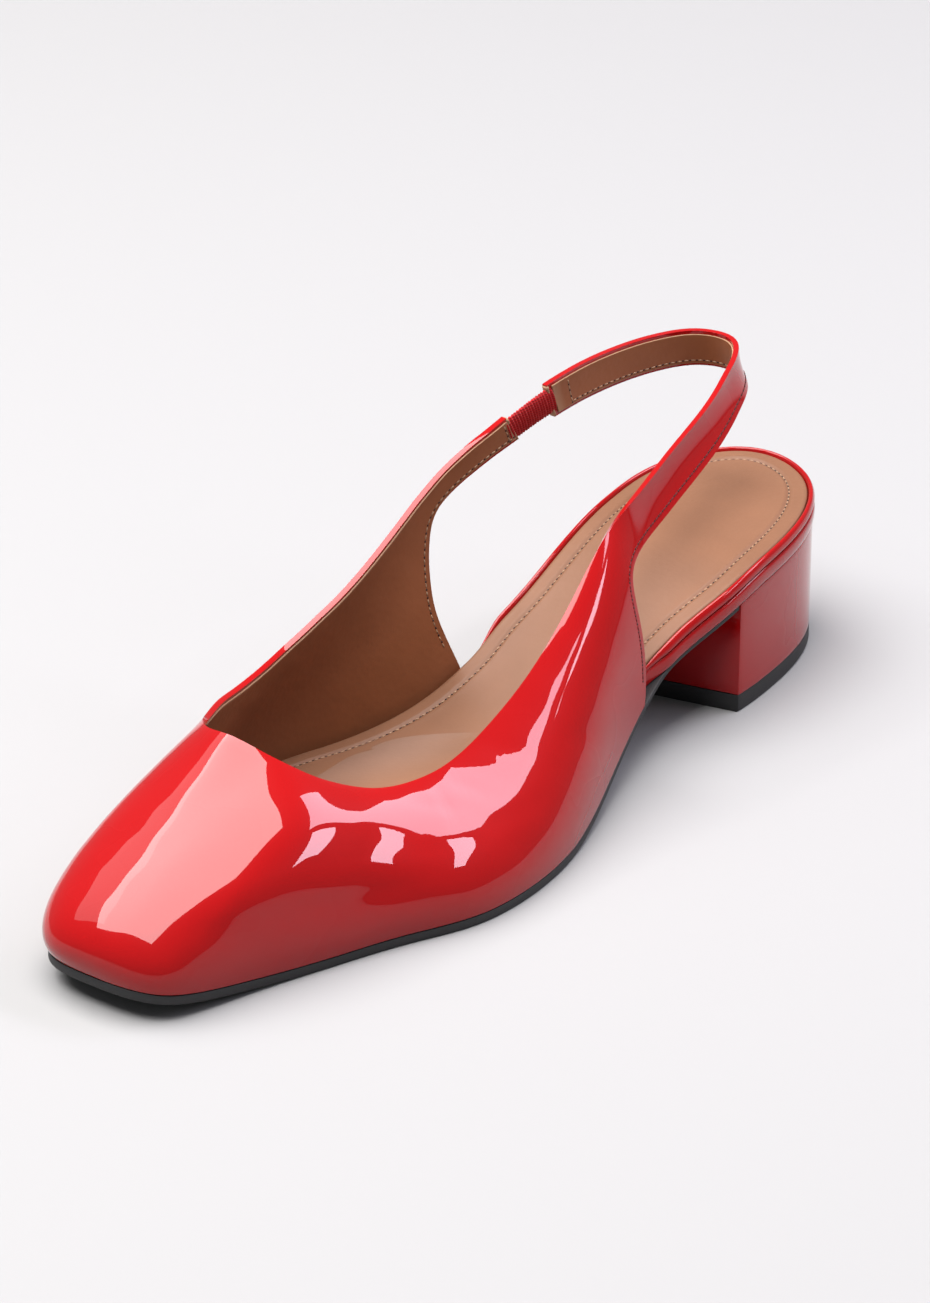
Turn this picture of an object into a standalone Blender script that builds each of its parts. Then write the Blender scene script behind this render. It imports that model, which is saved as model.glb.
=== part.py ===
# Slingback pump with a block heel, the wearer's left shoe, at its real size.
# Metres: +X is the outer (little toe) side, +Y the heel, +Z up.
# The origin lies on the floor under the middle of the heel.
import math

import bmesh
import bpy
import numpy as np
from mathutils import Vector

for old in list(bpy.data.objects):
    bpy.data.objects.remove(old, do_unlink=True)

# Driving sizes
LENGTH = 0.2440  # back of the seat to the tip of the toe
SEAT_BACK = 0.0272  # from the origin to the back of the seat
BALL_WIDTH = 0.082  # the last's width; the sole under it is 80 mm across the ball
COLLAR_HEIGHT = 0.0710  # floor to the top edge of the strap
HEEL_HEIGHT = 0.0290  # floor to the top of the heel block
TOE_SPRING = 0.0050
SEAT_PITCH = 0.062  # how fast the seat climbs towards the back

WALL = 0.0020  # patent leather with its lining
STRAP_WIDTH = 0.0100
ELASTIC_WIDTH = 0.0068
ELASTIC_THICKNESS = 0.0015
ELASTIC_GAP = 0.0005  # from the elastic to the leather ends that it is sewn between
SOLE_THICKNESS = 0.0022
WAIST_THICKNESS = 0.0014
BOARD_THICKNESS = 0.0023
SEAT_EDGE = 0.0060  # height of the covered board round the seat
SOCK_THICKNESS = 0.0009
TOP_PIECE_THICKNESS = 0.0042
HEEL_TAPER = 0.0005
BREAST_SKEW = math.radians(14.0)
CLEARANCE = 0.0003
SHARP = math.radians(35.0)  # edges sharper than this stay crisp

# Places along the shoe, as shares of its length, 0 at the back of the seat and 1 at the toe
TREAD_FRONT = 0.813
TREAD_BACK = 0.552
SEAT_FRONT = 0.170
BOARD_THINS = 0.537
BOARD_FULL = 0.325
BREAST = 0.242  # front face of the heel

# Sections round the shoe, from the middle of the toe along the outer side to the back,
# then along the inner side to the toe again. Each row holds the sole's edge and the collar
# line above it: out in shares of the ball width, along in shares of the length, rise in
# shares of the collar height.
# edge out, edge along, collar out, collar along, collar rise
SECTIONS = (
    (-0.020, 1.000, -0.061, 0.790, 0.580),
    (0.085, 0.998, 0.024, 0.786, 0.558),
    (0.177, 0.986, 0.079, 0.780, 0.534),
    (0.232, 0.954, 0.128, 0.770, 0.503),
    (0.280, 0.891, 0.165, 0.757, 0.472),
    (0.341, 0.824, 0.207, 0.732, 0.429),
    (0.421, 0.748, 0.246, 0.694, 0.392),
    (0.500, 0.680, 0.268, 0.638, 0.384),
    (0.508, 0.599, 0.261, 0.577, 0.420),
    (0.455, 0.517, 0.238, 0.503, 0.500),
    (0.362, 0.428, 0.190, 0.423, 0.614),
    (0.294, 0.350, 0.148, 0.352, 0.741),
    (0.285, 0.292, 0.118, 0.288, 0.798),
    (0.314, 0.230, 0.090, 0.226, 0.855),
    (0.300, 0.156, 0.050, 0.152, 0.909),
    (0.250, 0.084, 0.008, 0.103, 0.949),
    (0.137, 0.025, -0.036, 0.067, 0.970),
    (-0.043, 0.000, -0.110, 0.046, 0.980),
    (-0.200, 0.025, -0.207, 0.059, 0.989),
    (-0.288, 0.095, -0.268, 0.103, 0.997),
    (-0.277, 0.175, -0.302, 0.169, 1.000),
    (-0.254, 0.249, -0.304, 0.247, 0.992),
    (-0.244, 0.316, -0.300, 0.312, 0.955),
    (-0.261, 0.380, -0.322, 0.384, 0.875),
    (-0.303, 0.447, -0.337, 0.445, 0.756),
    (-0.396, 0.522, -0.346, 0.511, 0.628),
    (-0.463, 0.607, -0.352, 0.573, 0.551),
    (-0.449, 0.686, -0.351, 0.630, 0.500),
    (-0.390, 0.755, -0.334, 0.675, 0.489),
    (-0.323, 0.825, -0.307, 0.712, 0.500),
    (-0.274, 0.886, -0.271, 0.741, 0.510),
    (-0.248, 0.931, -0.234, 0.761, 0.531),
    (-0.215, 0.973, -0.191, 0.776, 0.553),
    (-0.130, 0.996, -0.140, 0.786, 0.568),
)
ROUND = len(SECTIONS)
BACK = ROUND // 2

# How the wall stands between sole and collar. Rise and drop are shares of the wall's height,
# bulge and shoulder shares of the ball width.
# section, rise, bulge, shoulder, drop
WALLS = (
    (-14, 0.35, 0.000, 0.010, 0.38),
    (-12.5, 0.35, 0.006, 0.014, 0.34),
    (-11, 0.34, 0.020, 0.042, 0.30),
    (-9, 0.38, 0.018, 0.045, 0.30),
    (-7, 0.36, 0.024, 0.046, 0.34),
    (-5, 0.31, 0.022, 0.070, 0.36),
    (-2.5, 0.32, 0.074, 0.180, 0.31),
    (0, 0.37, 0.074, 0.370, 0.44),
    (2.5, 0.42, 0.036, 0.350, 0.18),
    (5, 0.48, 0.034, 0.240, 0.13),
    (7, 0.42, 0.024, 0.130, 0.20),
    (9, 0.40, 0.014, 0.125, 0.20),
    (11, 0.35, 0.000, 0.085, 0.16),
    (12, 0.35, 0.000, 0.030, 0.36),
    (13, 0.35, 0.000, 0.012, 0.40),
    (15, 0.35, 0.000, 0.010, 0.40),
    (17, 0.35, 0.000, 0.012, 0.40),
    (20, 0.35, 0.000, 0.010, 0.38),
)

# The open rear edge of each quarter: section at the lower edge, how far below the collar
# line it runs in strap widths, and section at the collar line. It starts or ends at the sole.
INNER_REAR = (
    (-12.28, 0.80, -12.00),
    (-11.78, 0.77, -11.72),
    (-11.30, 0.78, -11.40),
    (-10.94, 0.82, -11.12),
    (-10.68, 1.02, -10.88),
    (-10.57, 1.55, -10.62),
    (-10.53, 2.20, -10.36),
    (-10.54, 3.00, -10.10),
    (-10.66, 3.90, -9.85),
    (-10.86, None, -9.55),
)
OUTER_REAR = (
    (10.92, None, 10.10),
    (11.00, 3.00, 10.40),
    (11.03, 2.20, 10.72),
    (11.05, 1.60, 10.98),
    (11.17, 1.18, 11.22),
    (11.46, 1.02, 11.50),
    (11.88, 1.00, 11.88),
    (12.48, 1.02, 12.48),
    (13.30, 1.00, 13.30),
    (15.00, 0.94, 15.00),
    (17.00, 0.90, 17.00),
    (19.00, 0.92, 19.00),
    (20.86, 0.92, 21.05),
)
FEATHER_COLUMNS = 38
INNER_COLUMNS = 10
OUTER_COLUMNS = 30
WALL_ROWS = 9
ELASTIC_COLUMNS = 8
ELASTIC_ROWS = (1.0, 0.5, 0.0, -0.5, -1.0)  # lower edge to upper edge, in half widths
STRAP_SECTION = 0.07  # run of one section along the strap, in shares of the length
LEAN = 0.3  # weight of the outline's direction in the shoulder's, in ball widths
PLATE_STEP = 0.5  # rows of a flat piece, in sections
PLATE_ACROSS = 4
END_ROW = 0.14  # where the first and last row of a flat piece lie

# The covered board's edge: inset and rise in shares of the seat edge, from the bottom up
BOARD_PROFILE = (
    (0.10, 0.00),
    (0.00, 0.07),
    (0.00, 0.50),
    (0.12, 0.56),
    (0.02, 0.65),
    (0.00, 0.80),
    (0.06, 0.95),
    (0.14, 1.00),
    (0.22, 0.94),
    (0.27, 0.74),
)
BOARD_FLAT = BOARD_PROFILE[-1][1]
HIDDEN_PROFILE = 0.12  # share of the profile that is left where the upper hides the board
BARE_RAMP = 0.8  # sections over which the board comes out from under the upper
# The sole's edge: inset in shares of the sole, rise in shares of its own thickness
SOLE_PROFILE = ((0.18, 0.00), (0.00, 0.22), (0.00, 0.85), (0.10, 1.00))
SOCK_ROUND = 0.3  # rounded top edge of the sock, in shares of its thickness
TOP_PIECE_TAPER = 1.4  # inset of the top piece at the floor, in heel tapers

COLOURS = {
    "patent": ((0.56, 0.008, 0.012), 0.08, 0.0),
    "elastic": ((0.32, 0.008, 0.014), 0.60, 0.0),
    "sock": ((0.50, 0.27, 0.16), 0.55, 0.0),
    "rubber": ((0.012, 0.012, 0.013), 0.60, 0.0),
}


def smooth_line(stations, rows):
    """Return a function that runs smoothly through the rows, a natural cubic spline."""
    at = np.array(stations, float)
    values = np.array(rows, float)
    gap = np.diff(at)
    slope = np.diff(values, axis=0) / gap[:, None]
    matrix = np.eye(len(at))
    right = np.zeros_like(values)
    for i in range(1, len(at) - 1):
        matrix[i, i - 1] = gap[i - 1]
        matrix[i, i] = 2 * (gap[i - 1] + gap[i])
        matrix[i, i + 1] = gap[i]
        right[i] = 6 * (slope[i] - slope[i - 1])
    bend = np.linalg.solve(matrix, right)

    def value(station):
        i = int(np.clip(np.searchsorted(at, station) - 1, 0, len(gap) - 1))
        after = (station - at[i]) / gap[i]
        before = 1 - after
        straight = before * values[i] + after * values[i + 1]
        curve = (before ** 3 - before) * bend[i] + (after ** 3 - after) * bend[i + 1]
        return straight + curve * gap[i] ** 2 / 6

    return value


def smooth_loop(rows):
    """The same through rows that close on themselves."""
    overlap = 5
    wrapped = rows[-overlap:] + rows + rows[:overlap]
    line = smooth_line(range(-overlap, len(rows) + overlap), wrapped)
    return lambda station: line(station % len(rows))


def ease(start, end, value):
    """0 before start, 1 after end, smooth between."""
    share = min(max((value - start) / (end - start), 0.0), 1.0)
    return share * share * (3 - 2 * share)


section_at = smooth_loop(SECTIONS)
wall_at = smooth_line([row[0] for row in WALLS], [row[1:] for row in WALLS])


def y_at(along):
    return SEAT_BACK - along * LENGTH


def along_at(y):
    return (SEAT_BACK - y) / LENGTH


def seat_line(y):
    """Top of the sole and of the heel block: toe spring, flat tread, arch and seat."""
    along = along_at(y)
    toe = max(along - TREAD_FRONT, 0.0) / (1 - TREAD_FRONT)
    arch = ease(-TREAD_BACK, -SEAT_FRONT, -along)
    seat = HEEL_HEIGHT - SOLE_THICKNESS + SEAT_PITCH * (y - y_at(SEAT_FRONT))
    return SOLE_THICKNESS + TOE_SPRING * toe * toe + arch * seat


def sole_edge(around):
    """A point of the sole's outline, in plan."""
    row = section_at(around)
    return Vector((row[0] * BALL_WIDTH, y_at(row[1])))


def outward(around):
    """The outline's outward direction there, in plan."""
    step = 0.02
    run = sole_edge(around + step) - sole_edge(around - step)
    return Vector((-run.y, run.x)).normalized() * -1


def last_point(around, up):
    """A point of the upper's outer face: up is 0 at the sole's edge and 1 at the collar."""
    row = section_at(around)
    edge = sole_edge(around)
    foot = Vector((edge.x, edge.y, seat_line(edge.y) + CLEARANCE))
    collar = Vector((row[2] * BALL_WIDTH, y_at(row[3]), row[4] * COLLAR_HEIGHT))
    station = around if around <= WALLS[-1][0] else around - ROUND
    rise, bulge, shoulder, drop = wall_at(station)
    height = collar.z - foot.z
    out = outward(around)
    lean = out * LEAN * BALL_WIDTH + (foot - collar).xy
    lean.normalize()
    low = foot + Vector((out.x * bulge * BALL_WIDTH, out.y * bulge * BALL_WIDTH, rise * height))
    reach = shoulder * BALL_WIDTH
    high = collar + Vector((lean.x * reach, lean.y * reach, -drop * height))
    down = 1 - up
    return (foot * down ** 3 + low * 3 * down * down * up
            + high * 3 * down * up * up + collar * up ** 3)


def up_below_collar(around, distance):
    """How far up the wall a point lies that is this distance below the collar line."""
    collar = last_point(around, 1.0)
    low, high = 0.0, 1.0
    for _ in range(24):
        middle = (low + high) / 2
        if (last_point(around, middle) - collar).length > distance:
            low = middle
        else:
            high = middle
    return (low + high) / 2


def rear_columns(rows, count):
    """Columns along an open rear edge: lower section, lower height, collar section."""
    full = [(last_point(low, 0.0) - last_point(low, 1.0)).length / STRAP_WIDTH for low, _, _ in rows]
    drops = [whole if drop is None else drop for (_, drop, _), whole in zip(rows, full)]
    line = smooth_line(range(len(rows)), [(r[0], d, r[2]) for r, d in zip(rows, drops)])
    columns = []
    for i in range(count + 1):
        low, drop, top = line(i * (len(rows) - 1) / count)
        columns.append([low, up_below_collar(low, drop * STRAP_WIDTH), top])
    for row, column in ((rows[0], columns[0]), (rows[-1], columns[-1])):
        if row[1] is None:
            column[1] = 0.0
    return columns


def upper_columns():
    """All columns of the upper, from the inner quarter's end round the toe to the strap's end."""
    inner = rear_columns(INNER_REAR, INNER_COLUMNS)
    outer = rear_columns(OUTER_REAR, OUTER_COLUMNS)
    start, end = inner[-1], outer[0]
    feather = []
    for i in range(1, FEATHER_COLUMNS):
        share = i / FEATHER_COLUMNS
        low = start[0] + (end[0] - start[0]) * share
        top = start[2] + (end[2] - start[2]) * share
        feather.append([low, 0.0, top])
    return inner + feather + outer


def collection_named(name):
    group = bpy.data.collections.new(name)
    bpy.context.scene.collection.children.link(group)
    return group


def material(name):
    colour, roughness, metallic = COLOURS[name]
    made = bpy.data.materials.new(name)
    made.use_nodes = True
    shader = made.node_tree.nodes["Principled BSDF"]
    shader.inputs["Base Color"].default_value = (*colour, 1.0)
    shader.inputs["Roughness"].default_value = roughness
    shader.inputs["Metallic"].default_value = metallic
    return made


def add_piece(name, mesh, finish):
    """Make a mesh an object of the shoe, seated on the shoe's empty."""
    piece = bpy.data.objects.new(name, mesh)
    piece.data.materials.append(materials[finish])
    piece.data.shade_smooth()
    piece.data.set_sharp_from_angle(angle=SHARP)
    piece.parent = shoe
    group.objects.link(piece)
    return piece


def sheet_mesh(name, rows):
    """An open sheet through rows of points, with its faces outwards."""
    shape = bmesh.new()
    grid = [[shape.verts.new(point) for point in row] for row in rows]
    for near, far in zip(grid, grid[1:]):
        for a, b, c, d in zip(near, near[1:], far[1:], far):
            shape.faces.new((a, d, c, b))
    mesh = bpy.data.meshes.new(name)
    shape.to_mesh(mesh)
    shape.free()
    return mesh


def loft_mesh(name, rings):
    """A closed body through rings of points, with flat ends."""
    shape = bmesh.new()
    loops = [[shape.verts.new(point) for point in ring] for ring in rings]
    for near, far in zip(loops, loops[1:]):
        for i in range(len(near)):
            j = (i + 1) % len(near)
            shape.faces.new((near[i], far[i], far[j], near[j]))
    shape.faces.new(loops[0])
    shape.faces.new(reversed(loops[-1]))
    bmesh.ops.remove_doubles(shape, verts=shape.verts, dist=1e-6)
    bmesh.ops.triangulate(shape, faces=[face for face in shape.faces if len(face.verts) > 4])
    bmesh.ops.recalc_face_normals(shape, faces=shape.faces)
    mesh = bpy.data.meshes.new(name)
    shape.to_mesh(mesh)
    shape.free()
    return mesh


def add_wall(piece, thickness):
    """Give an open sheet its thickness, inwards. The plain offset has no spikes at the tight
    corners of the toe when a size changes."""
    wall = piece.modifiers.new("wall", "SOLIDIFY")
    wall.thickness = thickness
    wall.offset = -1.0
    wall.use_even_offset = False
    wall.use_rim = True


def make_upper():
    rows = []
    for low, lift, top in upper_columns():
        column = []
        for i in range(WALL_ROWS + 1):
            share = i / WALL_ROWS
            column.append(last_point(low + (top - low) * share, lift + (1 - lift) * share))
        rows.append(column)
    piece = add_piece("upper", sheet_mesh("upper", rows), "patent")
    add_wall(piece, WALL)


def make_elastic():
    """The gathered elastic, between the inner quarter's end and the strap's end."""
    shift = ELASTIC_GAP / (LENGTH * STRAP_SECTION)
    quarter, strap = INNER_REAR[0], OUTER_REAR[-1]
    rows = []
    sunk = (WALL - ELASTIC_THICKNESS) / 2
    for i in range(ELASTIC_COLUMNS + 1):
        share = i / ELASTIC_COLUMNS
        low = quarter[0] - shift + (strap[0] - ROUND - quarter[0] + 2 * shift) * share
        top = quarter[2] - shift + (strap[2] - ROUND - quarter[2] + 2 * shift) * share
        middle = (quarter[1] + (strap[1] - quarter[1]) * share) * STRAP_WIDTH / 2
        around = (low + top) / 2
        column = []
        for side in ELASTIC_ROWS:
            below = middle + side * ELASTIC_WIDTH / 2
            station = around + (low - top) / 2 * side * ELASTIC_WIDTH / STRAP_WIDTH
            point = last_point(station, up_below_collar(station, below))
            out = outward(station)
            column.append(point - Vector((out.x, out.y, 0)) * sunk)
        rows.append(column)
    piece = add_piece("elastic", sheet_mesh("elastic", rows[::-1]), "elastic")
    add_wall(piece, ELASTIC_THICKNESS)


def plate_side(around, profile):
    """The edge of a flat piece at a section, its points in plan with their rise."""
    edge = sole_edge(around)
    out = outward(around)
    return [Vector((*(edge - out * inset), rise)) for inset, rise in profile(around)]


def across(start, end):
    return [start.lerp(end, i / PLATE_ACROSS) for i in range(1, PLATE_ACROSS)]


def plate_rings(rows, profile):
    """Rings of a flat piece on the seat line: each row pairs an outer with an inner section."""
    rings = []
    for outer, inner in rows:
        near = plate_side(outer, profile)
        far = plate_side(inner, profile)
        ring = near + across(near[-1], far[-1]) + far[::-1] + across(far[0], near[0])
        rings.append([Vector((spot.x, spot.y, seat_line(spot.y) + spot.z)) for spot in ring])
    return rings


def breast_line(x):
    """The y of the heel's front face, which is skewed to follow the heel's own axis."""
    return y_at(BREAST) + x * math.tan(BREAST_SKEW)


def breast_sections(gap=0.0):
    """Where the breast line crosses the outline, on the outer and on the inner side."""
    found = []
    for start, end in ((12.0, 15.0), (-11.5, -14.5)):
        for _ in range(30):
            middle = (start + end) / 2
            edge = sole_edge(middle)
            if edge.y + gap < breast_line(edge.x):
                start = middle
            else:
                end = middle
        found.append(middle)
    return found


def row_pairs(first, last):
    """Pairs of sections between two pairs, about half a section apart."""
    count = max(2, round(abs(last[0] - first[0]) / PLATE_STEP))
    pairs = []
    for i in range(count + 1):
        share = i / count
        pairs.append(tuple(a + (b - a) * share for a, b in zip(first, last)))
    return pairs


TOE_ROW = (END_ROW, -END_ROW)
BACK_ROW = (BACK - END_ROW, END_ROW - BACK)


def shown(around):
    """0 where the upper hides the board's edge, 1 where the edge is bare."""
    low_rows = OUTER_REAR[:2] if around > 0 else INNER_REAR[-2:]
    corner = max(abs(row[0]) for row in low_rows)
    return ease(corner, corner + BARE_RAMP, abs(around))


def board_thickness(around):
    along = section_at(around)[1]
    return BOARD_THICKNESS + (SEAT_EDGE - BOARD_THICKNESS) * ease(-BOARD_THINS, -BOARD_FULL, -along)


def board_profile(around):
    bare = shown(around)
    thick = board_thickness(around)
    tucked = (WALL + 2 * CLEARANCE) * (1 - bare)
    keep = HIDDEN_PROFILE + (1 - HIDDEN_PROFILE) * bare
    profile = []
    for inset, rise in BOARD_PROFILE:
        lifted = min(rise, BOARD_FLAT + (rise - BOARD_FLAT) * bare)
        profile.append((tucked + inset * SEAT_EDGE * keep, CLEARANCE + lifted * thick))
    return profile


def make_seat_board():
    rows = row_pairs(TOE_ROW, BACK_ROW)
    add_piece("seat_board", loft_mesh("seat_board", plate_rings(rows, board_profile)), "patent")


def sock_profile(around):
    bottom = 2 * CLEARANCE + BOARD_FLAT * board_thickness(around)
    hidden = WALL + 3 * CLEARANCE
    bare = BOARD_PROFILE[-1][0] * SEAT_EDGE + CLEARANCE
    inset = hidden + (bare - hidden) * shown(around)
    rounded = SOCK_ROUND * SOCK_THICKNESS
    top = bottom + SOCK_THICKNESS
    return ((inset, bottom), (inset, top - rounded), (inset + rounded, top))


def make_insole():
    rows = row_pairs(TOE_ROW, BACK_ROW)
    add_piece("insole", loft_mesh("insole", plate_rings(rows, sock_profile)), "sock")


def sole_profile(around):
    along = section_at(around)[1]
    waist = ease(-TREAD_BACK, -BOARD_FULL, -along)
    thick = SOLE_THICKNESS + (WAIST_THICKNESS - SOLE_THICKNESS) * waist
    inset = 2 * CLEARANCE * shown(around)
    return [(inset + side * SOLE_THICKNESS, (rise - 1) * thick) for side, rise in SOLE_PROFILE]


def make_outsole():
    rows = row_pairs(TOE_ROW, breast_sections(CLEARANCE))
    add_piece("outsole", loft_mesh("outsole", plate_rings(rows, sole_profile)), "rubber")


def block_rings(bottom, top):
    """Rings of the heel between two levels: each level gives its inset and its height at y."""
    rings = []
    for outer, inner in row_pairs(breast_sections(), BACK_ROW):
        ring = []
        for sections, (inset, level) in (((outer, inner), top), ((inner, outer), bottom)):
            ends = [sole_edge(around) - outward(around) * inset for around in sections]
            for i in range(PLATE_ACROSS + 1):
                spot = ends[0].lerp(ends[1], i / PLATE_ACROSS)
                ring.append(Vector((spot.x, spot.y, level(spot.y))))
        rings.append(ring)
    return rings


def make_heel():
    bottom = (HEEL_TAPER, lambda y: TOP_PIECE_THICKNESS + CLEARANCE)
    top = (CLEARANCE, seat_line)
    add_piece("heel", loft_mesh("heel", block_rings(bottom, top)), "patent")


def make_top_piece():
    bottom = (TOP_PIECE_TAPER * HEEL_TAPER, lambda y: 0.0)
    top = (HEEL_TAPER, lambda y: TOP_PIECE_THICKNESS)
    add_piece("top_piece", loft_mesh("top_piece", block_rings(bottom, top)), "rubber")


group = collection_named("slingback_pump")
materials = {name: material(name) for name in COLOURS}
shoe = bpy.data.objects.new("slingback_pump_frame", None)
group.objects.link(shoe)
make_upper()
make_elastic()
make_seat_board()
make_insole()
make_outsole()
make_heel()
make_top_piece()
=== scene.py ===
# Looks of a slingback pump with a block heel, the wearer's left shoe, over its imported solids.
# Metres: +X is the outer (little toe) side, +Y the heel, +Z up.
import math

import bmesh
import bpy
import numpy as np
from mathutils import Matrix, Vector


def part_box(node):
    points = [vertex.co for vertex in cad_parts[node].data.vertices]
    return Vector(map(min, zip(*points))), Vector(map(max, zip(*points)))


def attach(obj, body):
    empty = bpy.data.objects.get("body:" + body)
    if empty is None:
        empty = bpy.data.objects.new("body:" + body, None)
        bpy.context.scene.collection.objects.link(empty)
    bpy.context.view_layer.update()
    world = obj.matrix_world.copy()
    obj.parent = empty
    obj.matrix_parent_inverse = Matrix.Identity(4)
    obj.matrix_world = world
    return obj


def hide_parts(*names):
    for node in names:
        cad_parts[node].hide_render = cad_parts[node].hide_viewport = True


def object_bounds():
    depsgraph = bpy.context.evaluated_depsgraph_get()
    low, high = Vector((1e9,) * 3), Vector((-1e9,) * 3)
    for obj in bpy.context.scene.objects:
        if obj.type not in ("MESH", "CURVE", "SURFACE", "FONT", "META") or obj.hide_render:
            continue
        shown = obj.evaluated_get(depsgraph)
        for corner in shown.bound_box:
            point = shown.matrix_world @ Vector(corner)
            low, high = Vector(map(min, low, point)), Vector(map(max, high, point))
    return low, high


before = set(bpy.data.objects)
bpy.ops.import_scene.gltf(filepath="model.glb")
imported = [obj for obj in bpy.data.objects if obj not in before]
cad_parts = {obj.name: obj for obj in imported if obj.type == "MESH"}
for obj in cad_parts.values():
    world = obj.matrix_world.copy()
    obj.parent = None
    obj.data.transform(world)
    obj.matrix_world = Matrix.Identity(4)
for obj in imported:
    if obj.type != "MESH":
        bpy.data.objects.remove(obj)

CAD_LOW, CAD_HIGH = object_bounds()

bl_info = {
    "name": "Slingback Pump",
    "version": (1, 0, 0),
    "blender": (4, 5, 0),
    "location": "View3D > Sidebar > Pump",
    "description": "Dresses a slingback pump: patent upper, lining, elastic, stitches, footbed, heel, sole",
    "category": "Object",
}

# Driving sizes of the last, as the solids have them
LENGTH = 0.2440
SEAT_BACK = 0.0272
BALL_WIDTH = 0.082
COLLAR_HEIGHT = 0.0710
HEEL_HEIGHT = 0.0290
TOE_SPRING = 0.0050
SEAT_PITCH = 0.062
WALL = 0.0020
STRAP_WIDTH = 0.0100
ELASTIC_WIDTH = 0.0068
SOLE_THICKNESS = 0.0022
WAIST_THICKNESS = 0.0014
BOARD_THICKNESS = 0.0023
SEAT_EDGE = 0.0060
SOCK_THICKNESS = 0.0009
TOP_PIECE_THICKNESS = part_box("top_piece")[1].z
HEEL_TAPER = 0.0005
BREAST_SKEW = math.radians(14.0)
CLEARANCE = 0.0003
LEAN = 0.3
TREAD_FRONT, TREAD_BACK, SEAT_FRONT = 0.813, 0.552, 0.170
BOARD_THINS, BOARD_FULL, BREAST = 0.537, 0.325, 0.242
BARE_RAMP = 0.8

# Sections round the shoe, from the middle of the toe along the outer side to the back, then
# along the inner side to the toe again. Out in ball widths, along in lengths, rise in collar
# heights.
# edge out, edge along, collar out, collar along, collar rise
SECTIONS = (
    (-0.020, 1.000, -0.061, 0.790, 0.580),
    (0.085, 0.998, 0.024, 0.786, 0.558),
    (0.177, 0.986, 0.079, 0.780, 0.534),
    (0.232, 0.954, 0.128, 0.770, 0.503),
    (0.280, 0.891, 0.165, 0.757, 0.472),
    (0.341, 0.824, 0.207, 0.732, 0.429),
    (0.421, 0.748, 0.246, 0.694, 0.392),
    (0.500, 0.680, 0.268, 0.638, 0.384),
    (0.508, 0.599, 0.261, 0.577, 0.420),
    (0.455, 0.517, 0.238, 0.503, 0.500),
    (0.362, 0.428, 0.190, 0.423, 0.614),
    (0.294, 0.350, 0.148, 0.352, 0.741),
    (0.285, 0.292, 0.118, 0.288, 0.798),
    (0.314, 0.230, 0.090, 0.226, 0.855),
    (0.300, 0.156, 0.050, 0.152, 0.909),
    (0.250, 0.084, 0.008, 0.103, 0.949),
    (0.137, 0.025, -0.036, 0.067, 0.970),
    (-0.043, 0.000, -0.110, 0.046, 0.980),
    (-0.200, 0.025, -0.207, 0.059, 0.989),
    (-0.288, 0.095, -0.268, 0.103, 0.997),
    (-0.277, 0.175, -0.302, 0.169, 1.000),
    (-0.254, 0.249, -0.304, 0.247, 0.992),
    (-0.244, 0.316, -0.300, 0.312, 0.955),
    (-0.261, 0.380, -0.322, 0.384, 0.875),
    (-0.303, 0.447, -0.337, 0.445, 0.756),
    (-0.396, 0.522, -0.346, 0.511, 0.628),
    (-0.463, 0.607, -0.352, 0.573, 0.551),
    (-0.449, 0.686, -0.351, 0.630, 0.500),
    (-0.390, 0.755, -0.334, 0.675, 0.489),
    (-0.323, 0.825, -0.307, 0.712, 0.500),
    (-0.274, 0.886, -0.271, 0.741, 0.510),
    (-0.248, 0.931, -0.234, 0.761, 0.531),
    (-0.215, 0.973, -0.191, 0.776, 0.553),
    (-0.130, 0.996, -0.140, 0.786, 0.568),
)
ROUND = len(SECTIONS)
BACK = ROUND // 2

# How the wall stands between sole and collar. Rise and drop are shares of the wall's height,
# bulge and shoulder shares of the ball width.
# section, rise, bulge, shoulder, drop
WALLS = (
    (-14, 0.35, 0.000, 0.010, 0.38),
    (-12.5, 0.35, 0.006, 0.014, 0.34),
    (-11, 0.34, 0.020, 0.042, 0.30),
    (-9, 0.38, 0.018, 0.045, 0.30),
    (-7, 0.36, 0.024, 0.046, 0.34),
    (-5, 0.31, 0.022, 0.070, 0.36),
    (-2.5, 0.32, 0.074, 0.180, 0.31),
    (0, 0.37, 0.074, 0.370, 0.44),
    (2.5, 0.42, 0.036, 0.350, 0.18),
    (5, 0.48, 0.034, 0.240, 0.13),
    (7, 0.42, 0.024, 0.130, 0.20),
    (9, 0.40, 0.014, 0.125, 0.20),
    (11, 0.35, 0.000, 0.085, 0.16),
    (12, 0.35, 0.000, 0.030, 0.36),
    (13, 0.35, 0.000, 0.012, 0.40),
    (15, 0.35, 0.000, 0.010, 0.40),
    (17, 0.35, 0.000, 0.012, 0.40),
    (20, 0.35, 0.000, 0.010, 0.38),
)

# The open rear edge of each quarter: section at the lower edge, how far below the collar
# line it runs in strap widths, and section at the collar line. It starts or ends at the sole.
INNER_REAR = (
    (-12.28, 0.80, -12.00),
    (-11.78, 0.77, -11.72),
    (-11.30, 0.78, -11.40),
    (-10.94, 0.82, -11.12),
    (-10.68, 1.02, -10.88),
    (-10.57, 1.55, -10.62),
    (-10.53, 2.20, -10.36),
    (-10.54, 3.00, -10.10),
    (-10.66, 3.90, -9.85),
    (-10.86, None, -9.55),
)
OUTER_REAR = (
    (10.92, None, 10.10),
    (11.00, 3.00, 10.40),
    (11.03, 2.20, 10.72),
    (11.05, 1.60, 10.98),
    (11.17, 1.18, 11.22),
    (11.46, 1.02, 11.50),
    (11.88, 1.00, 11.88),
    (12.48, 1.02, 12.48),
    (13.30, 1.00, 13.30),
    (15.00, 0.94, 15.00),
    (17.00, 0.90, 17.00),
    (19.00, 0.92, 19.00),
    (20.86, 0.92, 21.05),
)

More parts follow.
